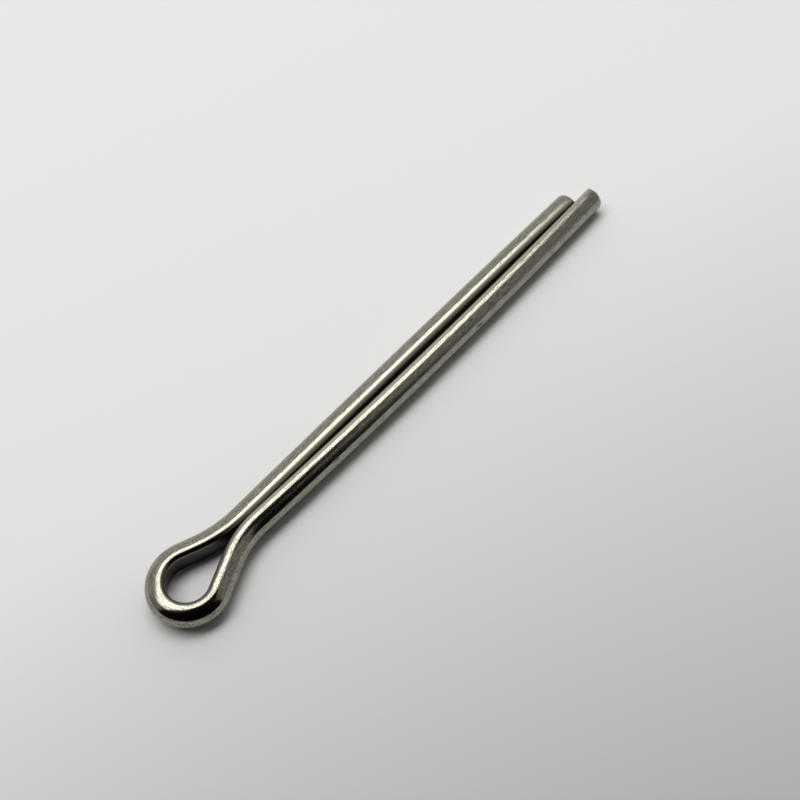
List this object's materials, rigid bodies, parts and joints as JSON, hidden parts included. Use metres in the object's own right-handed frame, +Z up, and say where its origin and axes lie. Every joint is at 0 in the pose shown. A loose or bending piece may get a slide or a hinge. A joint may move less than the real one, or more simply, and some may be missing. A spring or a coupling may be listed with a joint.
{
  "type": "cotter pin",
  "caption": "Split cotter pin bent from one length of D-section steel wire, with a rounded eye and two prongs of unequal length that lie flat to flat.",
  "frame": {"origin": "centre of the bounding box in X and Y, at the surface that the pin lies on in Z", "axes": "+X runs along the prongs from the eye to the prong ends, +Z is up from the surface with the pin lying on its side, and +Y points to the side of the shorter prong"},
  "size_m": [0.0604, 0.0078, 0.0025],
  "materials": {
    "wire_steel": "bright drawn steel wire, fine lengthwise draw lines, a little dull on the prongs"
  },
  "bodies": {
    "root": {"cotter_pin": "wire_steel"}
  },
  "joints": []
}
